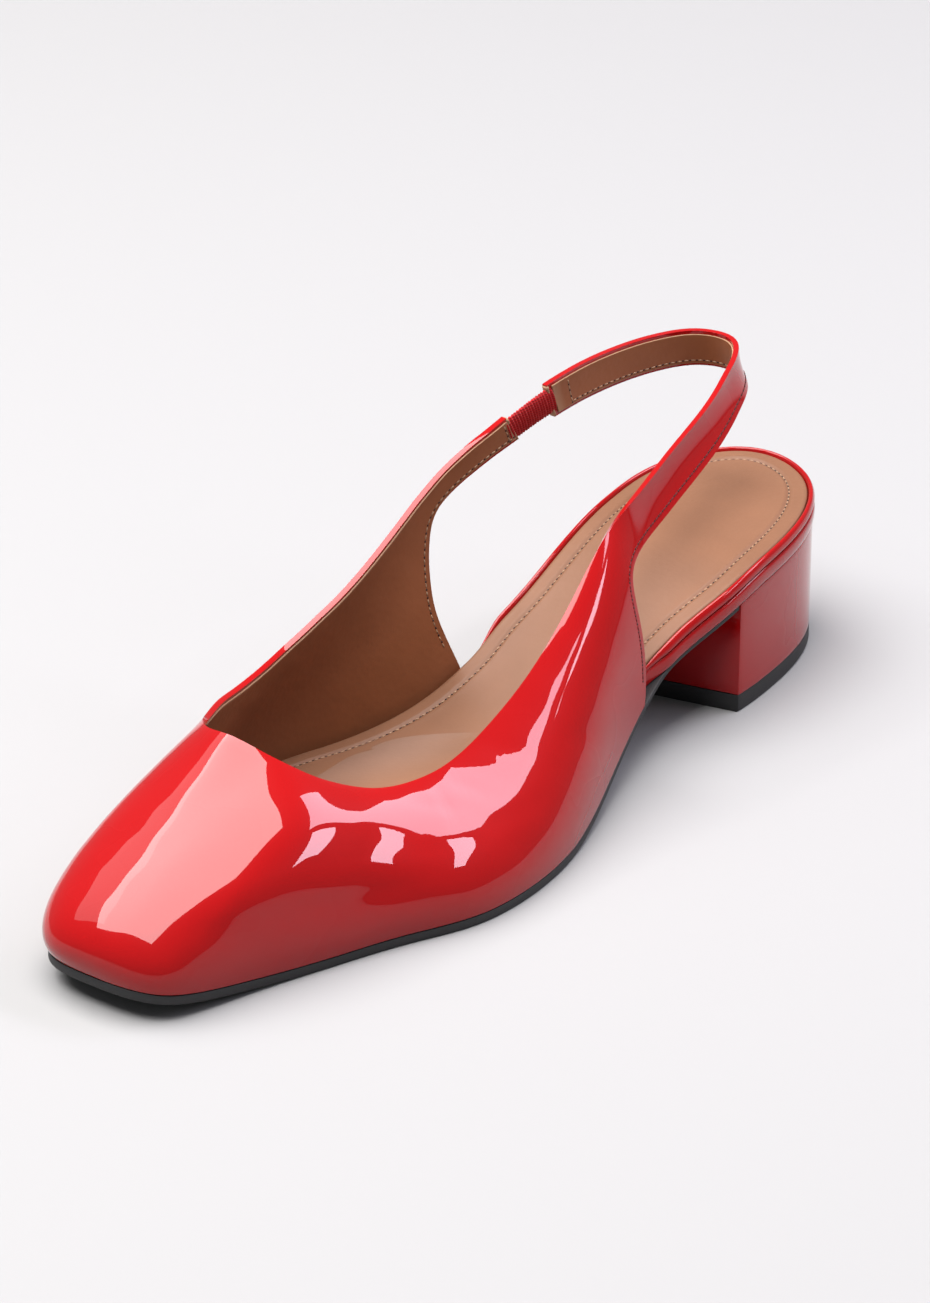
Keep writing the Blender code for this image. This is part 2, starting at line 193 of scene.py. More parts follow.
# The covered board's edge: inset and rise in shares of the seat edge, from the bottom up
BOARD_PROFILE = (
    (0.10, 0.00),
    (0.00, 0.07),
    (0.00, 0.50),
    (0.12, 0.56),
    (0.02, 0.65),
    (0.00, 0.80),
    (0.06, 0.95),
    (0.14, 1.00),
    (0.22, 0.94),
    (0.27, 0.74),
)
BOARD_FLAT = BOARD_PROFILE[-1][1]
HIDDEN_PROFILE = 0.12  # share of the profile that is left where the upper hides the board
# The sole's edge: inset in shares of the sole, rise in shares of its own thickness
SOLE_PROFILE = ((0.18, 0.00), (0.00, 0.22), (0.00, 0.85), (0.10, 1.00))


# The shoe's own surfaces


def natural_spline(stations, rows):
    """A natural cubic spline through the rows, which takes an array of stations."""
    at = np.array(stations, float)
    values = np.array(rows, float)
    gap = np.diff(at)
    slope = np.diff(values, axis=0) / gap[:, None]
    matrix = np.eye(len(at))
    right = np.zeros_like(values)
    for i in range(1, len(at) - 1):
        matrix[i, i - 1] = gap[i - 1]
        matrix[i, i] = 2 * (gap[i - 1] + gap[i])
        matrix[i, i + 1] = gap[i]
        right[i] = 6 * (slope[i] - slope[i - 1])
    bend = np.linalg.solve(matrix, right)

    def value(station):
        station = np.asarray(station, float)
        i = np.clip(np.searchsorted(at, station) - 1, 0, len(gap) - 1)
        after = ((station - at[i]) / gap[i])[..., None]
        before = 1 - after
        straight = before * values[i] + after * values[i + 1]
        curve = (before ** 3 - before) * bend[i] + (after ** 3 - after) * bend[i + 1]
        return straight + curve * (gap[i] ** 2)[..., None] / 6

    return value


OVERLAP = 5  # sections that are repeated at both ends, so that the spline closes smoothly
section_line = natural_spline(
    range(-OVERLAP, ROUND + OVERLAP), SECTIONS[-OVERLAP:] + SECTIONS + SECTIONS[:OVERLAP])
wall_line = natural_spline([row[0] for row in WALLS], [row[1:] for row in WALLS])
board_line = natural_spline(range(len(BOARD_PROFILE)), BOARD_PROFILE)
sole_line = natural_spline(range(len(SOLE_PROFILE)), SOLE_PROFILE)


def section(around):
    return section_line(np.asarray(around, float) % ROUND)


def ease(start, end, value):
    share = np.clip((value - start) / (end - start), 0.0, 1.0)
    return share * share * (3 - 2 * share)


def unit(vectors):
    return vectors / np.maximum(np.linalg.norm(vectors, axis=-1, keepdims=True), 1e-12)


def along_at(y):
    return (SEAT_BACK - y) / LENGTH


def seat_line(y):
    """Top of the sole and of the heel block: toe spring, flat tread, arch and seat."""
    along = along_at(y)
    toe = np.maximum(along - TREAD_FRONT, 0.0) / (1 - TREAD_FRONT)
    arch = ease(-TREAD_BACK, -SEAT_FRONT, -along)
    seat = HEEL_HEIGHT - SOLE_THICKNESS + SEAT_PITCH * (y - (SEAT_BACK - SEAT_FRONT * LENGTH))
    return SOLE_THICKNESS + TOE_SPRING * toe * toe + arch * seat


def sole_edge(around):
    row = section(around)
    return np.stack([row[..., 0] * BALL_WIDTH, SEAT_BACK - row[..., 1] * LENGTH], -1)


def outward(around):
    run = unit(sole_edge(around + 0.02) - sole_edge(around - 0.02))
    return np.stack([run[..., 1], -run[..., 0]], -1)


def last(around, up):
    """A point of the upper's outer face: up is 0 at the sole's edge and 1 at the collar."""
    around, up = np.broadcast_arrays(np.asarray(around, float), np.asarray(up, float))
    row = section(around)
    edge = sole_edge(around)
    foot = np.concatenate([edge, (seat_line(edge[..., 1]) + CLEARANCE)[..., None]], -1)
    collar = np.stack(
        [row[..., 2] * BALL_WIDTH, SEAT_BACK - row[..., 3] * LENGTH, row[..., 4] * COLLAR_HEIGHT], -1)
    turn = around % ROUND
    turn = np.where(turn <= WALLS[-1][0], turn, turn - ROUND)
    rise, bulge, shoulder, drop = np.moveaxis(wall_line(turn), -1, 0)
    height = collar[..., 2] - foot[..., 2]
    out = outward(around)
    lean = unit(out * LEAN * BALL_WIDTH + (foot - collar)[..., :2])
    low = foot + np.concatenate([out * (bulge * BALL_WIDTH)[..., None], (rise * height)[..., None]], -1)
    high = collar + np.concatenate(
        [lean * (shoulder * BALL_WIDTH)[..., None], (-drop * height)[..., None]], -1)
    up = up[..., None]
    down = 1 - up
    return foot * down ** 3 + low * 3 * down * down * up + high * 3 * down * up * up + collar * up ** 3


def slopes(around, up):
    """How the outer face runs with each parameter, and its outward normal."""
    step, rise = 0.02, 0.004
    run = (last(around + step, up) - last(around - step, up)) / (2 * step)
    climb = (last(around, up + rise) - last(around, up - rise)) / (2 * rise)
    return run, climb, unit(np.cross(run, climb))


def skin(around, up, depth):
    """A point of the upper at a depth under its outer face."""
    normal = slopes(around, up)[2]
    return last(around, up) - normal * np.asarray(depth, float)[..., None]


def up_below_collar(around, distance):
    """How far up the wall a point lies that is this distance below the collar line."""
    collar = last(around, 1.0)
    low, high = np.zeros(np.shape(around)), np.ones(np.shape(around))
    for _ in range(24):
        middle = (low + high) / 2
        far = np.linalg.norm(last(around, middle) - collar, axis=-1) > distance
        low, high = np.where(far, middle, low), np.where(far, high, middle)
    return (low + high) / 2


def rear_line(rows):
    """The open rear edge of a quarter: lower section, lower height and collar section."""
    lows = np.array([row[0] for row in rows])
    full = np.linalg.norm(last(lows, 0.0) - last(lows, 1.0), axis=-1) / STRAP_WIDTH
    drops = [whole if row[1] is None else row[1] for row, whole in zip(rows, full)]
    line = natural_spline(range(len(rows)), [(row[0], drop, row[2]) for row, drop in zip(rows, drops)])

    def value(share):
        low, drop, top = np.moveaxis(line(np.asarray(share, float) * (len(rows) - 1)), -1, 0)
        up = up_below_collar(low, drop * STRAP_WIDTH)
        return low, np.where(drop * STRAP_WIDTH > 0.985 * np.interp(low, *WALL_RUN), 0.0, up), top

    return value


WALL_STATIONS = np.linspace(-13, 22, 351)
WALL_RUN = (WALL_STATIONS, np.linalg.norm(last(WALL_STATIONS, 0.0) - last(WALL_STATIONS, 1.0), axis=-1))
inner_rear = rear_line(INNER_REAR)
outer_rear = rear_line(OUTER_REAR)


def column(place):
    """A column of the upper from 0, the inner quarter's end, through 1 and 2, where the quarters
    meet the sole, to 3, the strap's end: lower section, lower height and collar section."""
    low_a, up_a, top_a = inner_rear(np.clip(place, 0, 1))
    low_c, up_c, top_c = outer_rear(np.clip(place - 2, 0, 1))
    share = np.clip(place - 1, 0, 1)
    start, end = INNER_REAR[-1], OUTER_REAR[0]
    low_b = start[0] + (end[0] - start[0]) * share
    top_b = start[2] + (end[2] - start[2]) * share
    first, last_part = place < 1, place > 2
    low = np.where(first, low_a, np.where(last_part, low_c, low_b))
    up = np.where(first, up_a, np.where(last_part, up_c, 0.0))
    top = np.where(first, top_a, np.where(last_part, top_c, top_b))
    return low, up, top


def inset_path(around, up, distance):
    """A path on the upper that keeps a distance above an edge."""
    run, climb, normal = slopes(around, up)
    points = last(around, up)
    tangent = unit(np.gradient(points, axis=0))
    aside = np.cross(normal, tangent) * distance
    aa, ac, cc = (run * run).sum(-1), (run * climb).sum(-1), (climb * climb).sum(-1)
    ra, rc = (run * aside).sum(-1), (climb * aside).sum(-1)
    whole = aa * cc - ac * ac
    return around + (ra * cc - rc * ac) / whole, up + (rc * aa - ra * ac) / whole


def evenly(points, pitch, *values, shift=0.5):
    """Values along a path at an even pitch, which starts at a share of the pitch."""
    run = np.concatenate([[0], np.cumsum(np.linalg.norm(np.diff(points, axis=0), axis=1))])
    count = max(1, int(round(run[-1] / pitch)))
    at = (np.arange(count) + shift) * run[-1] / count
    return [np.interp(at, run, value) for value in values]


# Making meshes


def new_piece(name, shape, finish):
    """Turn a bmesh into a piece that rides on the shoe."""
    mesh = bpy.data.meshes.new(name)
    shape.to_mesh(mesh)
    shape.free()
    piece = bpy.data.objects.new(name, mesh)
    bpy.context.scene.collection.objects.link(piece)
    mesh.materials.append(finish)
    mesh.shade_smooth()
    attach(piece, "root")
    return piece


def bent_grid(across, along, place, closed=False):
    """A grid whose corners are carried to their places: the rule takes arrays from 0 to 1."""
    shape = bmesh.new()
    bmesh.ops.create_grid(shape, x_segments=across, y_segments=along, size=0.5)
    corners = list(shape.verts)
    flat = np.array([corner.co[:2] for corner in corners]) + 0.5
    for corner, spot in zip(corners, place(flat[:, 0], flat[:, 1])):
        corner.co = spot
    if closed:
        bmesh.ops.remove_doubles(shape, verts=shape.verts, dist=2e-6)
    return shape


def give_wall(piece, thickness, rim, segments):
    """A wall inwards, with its rim rounded."""
    wall = piece.modifiers.new("wall", "SOLIDIFY")
    wall.thickness = thickness
    wall.offset = -1.0
    wall.use_even_offset = False
    edge = piece.modifiers.new("rim", "BEVEL")
    edge.width = rim
    edge.segments = segments
    edge.limit_method = "ANGLE"
    edge.angle_limit = math.radians(50)
    edge.harden_normals = False


def stitch_matrix(spot, along, normal, size):
    """Carries a unit ball to a stitch: size holds its length, width and height."""
    across = normal.cross(along).normalized()
    along = across.cross(normal).normalized()
    turn = Matrix((along, across, normal)).transposed().to_4x4()
    return Matrix.Translation(spot) @ turn @ Matrix.Diagonal((*size, 1.0))


def add_stitches(shape, points, normals, size):
    """A ball for each stitch, drawn out along the row."""
    runs = unit(np.gradient(points, axis=0))
    for spot, run, normal in zip(points, runs, normals):
        bmesh.ops.create_uvsphere(
            shape, u_segments=6, v_segments=4, radius=0.5,
            matrix=stitch_matrix(Vector(spot), Vector(run), Vector(normal), size))


# Materials


class Wire:
    """A node's output, on which plain arithmetic adds Math nodes."""

    def __init__(self, tree, socket):
        self.tree = tree
        self.socket = socket

    def maths(self, operation, *values):
        node = self.tree.nodes.new("ShaderNodeMath")
        node.operation = operation
        for socket, value in zip(node.inputs, values):
            feed(self.tree, socket, value)
        return Wire(self.tree, node.outputs[0])

    def __add__(self, other):
        return self.maths("ADD", self, other)

    __radd__ = __add__

    def __sub__(self, other):
        return self.maths("SUBTRACT", self, other)

    def __rsub__(self, other):
        return self.maths("SUBTRACT", other, self)

    def __mul__(self, other):
        return self.maths("MULTIPLY", self, other)

    __rmul__ = __mul__


def feed(tree, socket, value):
    """Link a wire to a socket, or set the socket's value."""
    if isinstance(value, Wire):
        tree.links.new(value.socket, socket)
    elif isinstance(value, (tuple, list)) and len(value) == 3 and socket.type == "RGBA":
        socket.default_value = (*value, 1.0)
    else:
        socket.default_value = value


class Finish:
    """A material as it is put together."""

    def __init__(self, name, **constants):
        self.material = bpy.data.materials.new(name)
        self.material.use_nodes = True
        self.tree = self.material.node_tree
        self.shader = self.tree.nodes["Principled BSDF"]
        for socket, value in constants.items():
            feed(self.tree, self.shader.inputs[socket.replace("_", " ")], value)

    def node(self, kind, output=0, settings=None, **inputs):
        """Any node: its settings first, then its sockets by name, or by place as i0, i1 and on."""
        node = self.tree.nodes.new("ShaderNode" + kind)
        for key, value in (settings or {}).items():
            setattr(node, key, value)
        for key, value in inputs.items():
            by_place = key[0] == "i" and key[1:].isdigit()
            socket = node.inputs[int(key[1:]) if by_place else key.replace("_", " ")]
            feed(self.tree, socket, value)
        return Wire(self.tree, node.outputs[output])

    def place(self):
        """Object coordinates, which are metres in the shoe's frame."""
        return self.node("TexCoord", output=3)

    def noise(self, scale, detail=3.0):
        return self.node("TexNoise", Vector=self.place(), Scale=scale, Detail=detail)

    def mixed(self, share, first, second):
        """Two colours mixed by a share: the Mix node's colour sockets are 6 and 7."""
        return self.node("Mix", output=2, settings={"data_type": "RGBA"}, Factor=share, i6=first, i7=second)

    def bump(self, height, distance, strength=1.0, under=None):
        extra = {"Normal": under} if under else {}
        return self.node("Bump", Height=height, Distance=distance, Strength=strength, **extra)

    def use(self, **links):
        for socket, value in links.items():
            feed(self.tree, self.shader.inputs[socket.replace("_", " ")], value)
        return self.material


def attribute(finish, name):
    return finish.node("Attribute", output=2, settings={"attribute_name": name})


def patent_leather(colour, name="patent"):
    """Lacquered leather: a deep colour under a clear coat."""
    finish = Finish(
        name, Coat_Weight=1.0, Coat_Roughness=0.012, Coat_IOR=1.43, IOR=1.45, Specular_IOR_Level=0.02)
    broad = finish.noise(38.0, detail=2.0)
    peel = finish.bump(finish.noise(420.0, detail=2.0), 0.00004, 0.25)
    shade = finish.mixed(broad, tuple(c * 0.88 for c in colour), colour)
    return finish.use(Base_Color=shade, Roughness=0.22 + broad * 0.10, Normal=peel)


def grain_leather(colour, name, pale=None, grain=620.0, depth=0.00009, roughness=0.5):
    """Lining or footbed leather: fine pebbles, faint blotches, paler where it is cut."""
    finish = Finish(name, IOR=1.45, Specular_IOR_Level=0.3)
    blotch = finish.noise(60.0, detail=4.0)
    pores = finish.node("TexVoronoi", Vector=finish.place(), Scale=grain)
    fibre = finish.noise(1900.0, detail=2.0)
    shade = finish.mixed(blotch, tuple(c * 0.80 for c in colour), tuple(min(1.0, c * 1.12) for c in colour))
    if pale is not None:
        shade = finish.mixed(attribute(finish, "cut"), shade, pale)
    low = finish.bump(pores, depth, 0.35)
    return finish.use(
        Base_Color=shade, Roughness=roughness + fibre * 0.16 - blotch * 0.06,
        Normal=finish.bump(fibre, depth * 0.5, 0.3, under=low))


def thread_finish(colour, name):
    """Waxed thread with its twist."""
    finish = Finish(name, IOR=1.45)
    twist = finish.node(
        "TexWave", settings={"bands_direction": "DIAGONAL"}, Vector=finish.place(), Scale=900.0)
    shade = finish.mixed(twist, tuple(c * 0.7 for c in colour), colour)
    return finish.use(
        Base_Color=shade, Roughness=0.55 + twist * 0.1, Normal=finish.bump(twist, 0.00005, 0.5))


def elastic_finish(colour):
    """Gathered webbing: fine threads over the ribs."""
    finish = Finish("elastic", Sheen_Weight=0.05, IOR=1.4)
    threads = finish.node(
        "TexWave", settings={"bands_direction": "Z"}, Vector=finish.place(), Scale=520.0)
    fuzz = finish.noise(1500.0, detail=3.0)
    shade = finish.mixed(threads, tuple(c * 0.5 for c in colour), colour)
    return finish.use(
        Base_Color=shade, Roughness=0.7 + fuzz * 0.2,
        Normal=finish.bump(threads + fuzz * 0.6, 0.00012, 0.6))


def rubber_finish(colour):
    """Matt sole rubber with a fine moulded texture."""
    finish = Finish("rubber", IOR=1.5)
    speck = finish.noise(900.0, detail=3.0)
    scuff = finish.noise(70.0, detail=4.0)
    shade = finish.mixed(scuff, colour, tuple(c * 1.8 for c in colour))
    return finish.use(
        Base_Color=shade, Roughness=0.48 + scuff * 0.2, Normal=finish.bump(speck, 0.00008, 0.4))


def floor_finish(colour):
    """Plain paper under the shoe."""
    finish = Finish("floor", IOR=1.3)
    cloud = finish.noise(1.5, detail=2.0)
    shade = finish.mixed(cloud, tuple(c * 0.99 for c in colour), colour)
    return finish.use(Base_Color=shade, Roughness=0.75 + cloud * 0.05)


MADE = {}


def finish_named(name):
    """Each finish is made once, from the colours that the user has set."""
    if name not in MADE:
        tones = bpy.context.scene.pump_colours
        makers = {
            "patent": lambda: patent_leather(tuple(tones.patent)),
            "lining": lambda: grain_leather(tuple(tones.lining), "lining", pale=tuple(tones.cut_edge)),
            "sock": lambda: grain_leather(tuple(tones.sock), "sock", grain=760.0, roughness=0.44),
            "cut": lambda: grain_leather(tuple(tones.cut_edge), "cut_leather", grain=900.0, roughness=0.7),
            "pale_thread": lambda: thread_finish(tuple(tones.pale_thread), "pale_thread"),
            "red_thread": lambda: thread_finish(tuple(tones.red_thread), "red_thread"),
            # The needle holes are dark balls on the leather: their finish is painted shade of the holes.
            "hole_shade": lambda: thread_finish(tuple(tones.hole_shade), "needle_hole_shade"),
            "elastic": lambda: elastic_finish(tuple(tones.elastic)),
            "rubber": lambda: rubber_finish(tuple(tones.rubber)),
            "floor": lambda: floor_finish(tuple(tones.floor)),
        }
        MADE[name] = makers[name]()
    return MADE[name]


# Settings


def length(name, description, default):
    return bpy.props.FloatProperty(
        name=name, description=description, default=default, unit="LENGTH", precision=5)


def tone(name, description, default):
    return bpy.props.FloatVectorProperty(
        name=name, description=description, default=default, subtype="COLOR", size=3, min=0.0, max=1.0)


class PumpSizes(bpy.types.PropertyGroup):
    """Sizes of what is dressed on the shoe."""

    shell: length("Patent shell", "Thickness of the red shell", 0.00125)
    rim: length("Folded rim", "How much of the shell's edge is rounded", 0.00048)
    lining: length("Lining", "Thickness of the lining", 0.00034)
    lining_drop: length("Lining below the rim", "From the rim to the lining's cut edge", 0.00080)
    lining_margin: length("Lining inside the edge", "From a rear edge to the lining's cut edge", 0.00080)
    stitch_margin: length("Stitches from the edge", "From an edge to its row of stitches", 0.00150)
    stitch_pitch: length("Stitch pitch", "From one stitch to the next", 0.00190)
    stitch_length: length("Stitch length", "Thread that shows in one stitch", 0.00125)
    thread: length("Thread", "Width of the thread", 0.00042)
    sock_margin: length("Footbed stitches", "From the footbed's edge to its stitches", 0.00420)
    sock_groove: length("Footbed groove", "Depth of the stitched groove", 0.00038)
    sock_pad: length("Heel pad", "Rise of the padded heel", 0.00050)
    rib_pitch: length("Elastic rib", "From one gathered rib to the next", 0.00088)
    rib_depth: length("Elastic gather", "Height of a gathered rib", 0.00042)


class PumpColours(bpy.types.PropertyGroup):
    """Colours of the finishes."""

    patent: tone("Patent", "Red patent leather", (0.310, 0.0020, 0.0028))
    lining: tone("Lining", "Tan lining", (0.240, 0.082, 0.033))
    sock: tone("Footbed", "Tan footbed", (0.190, 0.088, 0.047))
    cut_edge: tone("Cut edge", "Cut edge of the lining", (0.36, 0.21, 0.125))
    pale_thread: tone("Pale thread", "Thread in the lining and footbed", (0.36, 0.23, 0.14))
    red_thread: tone("Red thread", "Thread in the patent leather", (0.12, 0.0025, 0.0035))
    # Dark colour of the balls that stand for needle holes: painted shade of the holes.
    hole_shade: tone("Needle hole", "Shade in a needle hole", (0.016, 0.004, 0.003))
    elastic: tone("Elastic", "Gathered elastic", (0.46, 0.004, 0.007))
    rubber: tone("Rubber", "Sole and top piece", (0.0075, 0.0075, 0.008))
    floor: tone("Floor", "Pale floor", (0.290, 0.290, 0.290))


class PumpStage(bpy.types.PropertyGroup):
    """Camera and lights."""

    azimuth: bpy.props.FloatProperty(
        name="Azimuth", description="Camera's turn from the toe's side to the outer side",
        default=math.radians(38.61), subtype="ANGLE")
    elevation: bpy.props.FloatProperty(
        name="Elevation", description="Camera over the floor", default=math.radians(26.72), subtype="ANGLE")
    distance: length("Distance", "Camera to the middle of the shoe", 1.3596)
    focal: bpy.props.FloatProperty(name="Lens", description="Focal length in millimetres", default=172.0)
    fill: bpy.props.FloatProperty(name="Room", description="Strength of the room's light", default=0.27)


def sizes():
    return bpy.context.scene.pump_sizes


# Pieces

# Faces of the shell along the inner quarter's rear edge, along the sole and along the outer
# quarter's rear edge with the strap, and from the lower edge to the collar
SHELL_COLUMNS = (46, 200, 134)
SHELL_ROWS = 46
SHELL_PLACES = np.cumsum((0,) + SHELL_COLUMNS) / sum(SHELL_COLUMNS)
LINING_ENDS = (0.008, 2.9965)  # places where the lining stops short of the leather's two ends
PULL = 0.000010  # unevenness of the pulled leather
TOE_SLANT = 0.0018  # how far the low wall beside the toe lies under the solid's face

# Creases of the worn leather. Each is a line on the outer face from one station and height to
# another, with its depth and width in millimetres.
# station, height, station, height, depth, width
CREASES = (
    (5.0, 0.82, 6.5, 0.56, 0.075, 2.6),
    (6.0, 0.93, 7.2, 0.66, 0.100, 2.4),
    (6.9, 0.95, 7.7, 0.60, 0.110, 2.2),
    (7.8, 0.94, 8.5, 0.66, 0.080, 2.6),
    (5.6, 0.60, 7.4, 0.46, 0.070, 2.2),
    (6.9, 0.58, 8.6, 0.42, 0.090, 3.0),
    (6.70, 1.02, 6.85, 0.58, 0.130, 1.7),
    (8.8, 0.62, 9.8, 0.34, 0.110, 3.4),
    (-6.4, 0.90, -7.4, 0.64, 0.120, 2.4),
    (-7.6, 0.88, -8.4, 0.60, 0.110, 2.6),
    (-9.6, 0.80, -9.3, 0.45, 0.180, 3.0),
)


def crease_depth(around, up):
    """How deep the outer face lies under the solid's: soft troughs between low ridges, the
    unevenness of pulled leather, and the slant of the low wall beside the toe."""
    points = last(around, up)
    depth = np.zeros(len(points))
    for a, h, b, k, deep, wide in CREASES:
        share = np.linspace(0, 1, 25)
        line = last(a + (b - a) * share, h + (k - h) * share)
        gaps = np.linalg.norm(points[:, None, :] - line[None, :, :], axis=2)
        near = gaps.argmin(1)
        across = gaps.min(1) / (wide / 1000)
        depth += deep / 1000 * np.sin(np.pi * share[near]) * (1 - 1.1 * across ** 2) * np.exp(-across ** 2)
    x, y, z = np.moveaxis(points * 1000, -1, 0)
    waves = np.sin(0.62 * x + 0.31 * y + 0.8 * z)
    waves = waves + np.sin(0.45 * y - 0.5 * x + 1.0) + np.sin(0.55 * z + 0.38 * y - 2.0)
    beside_toe = ease(0.8, 2.6, around) * (1 - ease(5.2, 6.8, around))
    low_wall = ease(0.03, 0.38, up) * (1 - ease(0.58, 1.0, up))
    return depth + PULL * waves + TOE_SLANT * beside_toe * low_wall


def shell_place(u, v, depth, low_margin=0.0, top_margin=0.0):
    """Places on the upper, held in from its lower and its top edge by two margins."""
    place = np.interp(u, SHELL_PLACES, [0, 1, 2, 3])
    low, up, top = column(place)
    run = np.zeros(len(u))
    before = last(low, up)
    for share in np.linspace(0, 1, 9)[1:]:
        after = last(low + (top - low) * share, up + (1 - up) * share)
        run += np.linalg.norm(after - before, axis=-1)
        before = after
    start = np.where((place < 1) | (place > 2), low_margin / run, 0.0)
    share = start + (1 - start - top_margin / run) * v
    around = low + (top - low) * share
    up = up + (1 - up) * share
    return skin(around, up, depth + crease_depth(around, up))


class PUMP_OT_upper(bpy.types.Operator):
    """Patent shell of the upper with its strap, creased and with a folded rim"""

    bl_idname = "pump.upper"
    bl_label = "Upper"

    def execute(self, context):
        shape = bent_grid(sum(SHELL_COLUMNS), SHELL_ROWS, lambda u, v: shell_place(u, v, np.zeros(len(u))))
        piece = new_piece("patent_upper", shape, finish_named("patent"))
        give_wall(piece, sizes().shell, sizes().rim, 4)
        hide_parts("upper")
        return {"FINISHED"}


class PUMP_OT_lining(bpy.types.Operator):
    """Tan lining inside the upper and the strap, with its paler cut edge"""

    bl_idname = "pump.lining"
    bl_label = "Lining"

    def execute(self, context):
        size = sizes()
        depth = size.shell + 0.00002

        def place(u, v):
            start, end = LINING_ENDS
            spread = np.interp(u, SHELL_PLACES, [start, 1, 2, end])
            held = np.interp(spread, [0, 1, 2, 3], SHELL_PLACES)
            return shell_place(held, v, np.full(len(u), depth), size.lining_margin, size.lining_drop)

        shape = bent_grid(sum(SHELL_COLUMNS), SHELL_ROWS, place)
        cut = shape.verts.layers.float.new("cut")
        for edge in shape.edges:
            if edge.is_boundary:
                for corner in edge.verts:
                    corner[cut] = 0.85
        piece = new_piece("lining", shape, finish_named("lining"))
        give_wall(piece, size.lining, size.lining * 0.4, 2)
        return {"FINISHED"}


def stitch_line(name, around, up, depth, size, finish, face, shift):
    """A row of stitches on the upper's outer face (1) or on its lining (-1)."""
    stations, heights = evenly(last(around, up), sizes().stitch_pitch, around, up, shift=shift)
    points = skin(stations, heights, depth + crease_depth(stations, heights))
    normals = slopes(stations, heights)[2] * face
    shape = bmesh.new()
    add_stitches(shape, points, normals, size)
    new_piece(name, shape, finish_named(finish))


class PUMP_OT_stitches(bpy.types.Operator):
    """Stitches along the rear edges, the strap and their lining"""

    bl_idname = "pump.stitches"
    bl_label = "Stitches of the upper"

    def execute(self, context):
        size = sizes()
        share = np.linspace(0, 1, 700)
        thread = (size.stitch_length, size.thread, size.thread * 0.8)
        # Each needle hole is a small dark ball on the face: painted shade of the hole.
        hole_shade = (size.thread * 1.5, size.thread * 1.25, size.thread * 0.7)
        rows = []
        for name, line, keep in (("outer", outer_rear, (0.05, 0.985)), ("inner", inner_rear, (0.02, 0.90))):
            low, up, top = line(keep[0] + (keep[1] - keep[0]) * share)
            rows.append((name + "_rear", *inset_path(low, up, size.stitch_margin)))
        for name, place in (("quarter_end", 0.035), ("strap_end", 2.984)):
            low, up, top = column(np.full(len(share), place))
            across = 0.14 + 0.72 * share
            rows.append((name, low + (top - low) * across, up + (1 - up) * across))
        for name, around, up in rows:
            for kind, depth, finish, slot, face in (
                ("_", 0.0, "red_thread", "patent_leather", 1),
                ("_lining_", size.shell + size.lining, "pale_thread", "sock_leather", -1),
            ):
                stitch_line(name + kind + "stitches", around, up, depth, thread, finish, face, 0.5)
                stitch_line(name + kind + "holes", around, up, depth, hole_shade, "hole_shade", face, 0.0)
        return {"FINISHED"}


EDGE_ROLL = 0.00042  # half the width of the raw edge that shows
EDGE_PROUD = 0.0001  # how far the raw edge stands out of the leather's faces


class PUMP_OT_end_edges(bpy.types.Operator):
    """Raw beige edges of the leather where the elastic enters it"""

    bl_idname = "pump.end_edges"
    bl_label = "Ends at the elastic"

    def execute(self, context):
        size = sizes()
        deep = size.shell + size.lining
        for name, end in (("quarter_end_edge", 0.0), ("strap_end_edge", 3.0)):

            def place(u, v):
                low, up, top = column(np.full(len(u), end))
                share = 0.04 + 0.92 * u
                around, height = low + (top - low) * share, up + (1 - up) * share
                turn = 2 * math.pi * v
                aside = EDGE_ROLL * np.cos(turn) / np.linalg.norm(slopes(around, height)[0], axis=-1)
                return skin(around + aside, height, deep / 2 - (deep / 2 + EDGE_PROUD) * np.sin(turn))

            shape = bent_grid(16, 12, place, closed=True)
            bmesh.ops.holes_fill(shape, edges=[edge for edge in shape.edges if edge.is_boundary])
            bmesh.ops.recalc_face_normals(shape, faces=shape.faces)
            new_piece(name, shape, finish_named("cut"))
        return {"FINISHED"}


ELASTIC_LENGTH = 0.0165  # along which the ribs are counted
ELASTIC_HALF = 0.00055  # half the elastic's thickness between its ribs
ELASTIC_TUCK = 0.08  # stations by which the elastic stops short of the leather's ends


class PUMP_OT_elastic(bpy.types.Operator):
    """Gathered elastic between the strap's end and the inner quarter"""

    bl_idname = "pump.elastic"
    bl_label = "Elastic"

    def execute(self, context):
        size = sizes()
        quarter, strap = INNER_REAR[0], OUTER_REAR[-1]
        short = 2 * ELASTIC_TUCK

        def place(share, v):
            low = quarter[0] + ELASTIC_TUCK + (strap[0] - ROUND - quarter[0] - short) * share
            top = quarter[2] + ELASTIC_TUCK + (strap[2] - ROUND - quarter[2] - short) * share
            centre = (quarter[1] + (strap[1] - quarter[1]) * share) * STRAP_WIDTH / 2
            turn = v * 2 * math.pi
            run = share * ELASTIC_LENGTH / size.rib_pitch * 2 * math.pi
            puckers = np.sin(run + 0.55 * np.sin(3.1 * np.cos(turn) + run * 0.37))
            across = np.cos(turn) * (ELASTIC_WIDTH / 2 + 0.25 * size.rib_depth * puckers)
            thick = np.sin(turn) * (ELASTIC_HALF + 0.5 * size.rib_depth * (1 + puckers))
            station = (low + top) / 2 + (low - top) / 2 * across / (STRAP_WIDTH / 2)
            return skin(station, up_below_collar(station, centre + across), WALL / 2 - thick)

        shape = bent_grid(150, 28, place, closed=True)
        bmesh.ops.holes_fill(shape, edges=[edge for edge in shape.edges if edge.is_boundary])
        bmesh.ops.recalc_face_normals(shape, faces=shape.faces)
        piece = new_piece("gathered_elastic", shape, finish_named("elastic"))
        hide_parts("elastic")
        return {"FINISHED"}


# Flat pieces under the foot

SPINE_START = 1.6  # stations from the toe or the back where the middle line of a flat piece ends


def spine(around):
    """The middle line of the sole's plan, across from a station."""
    side = np.minimum(around % ROUND, ROUND - around % ROUND)
    side = np.clip(side, SPINE_START, BACK - SPINE_START)
    return (sole_edge(side) + sole_edge(-side)) / 2


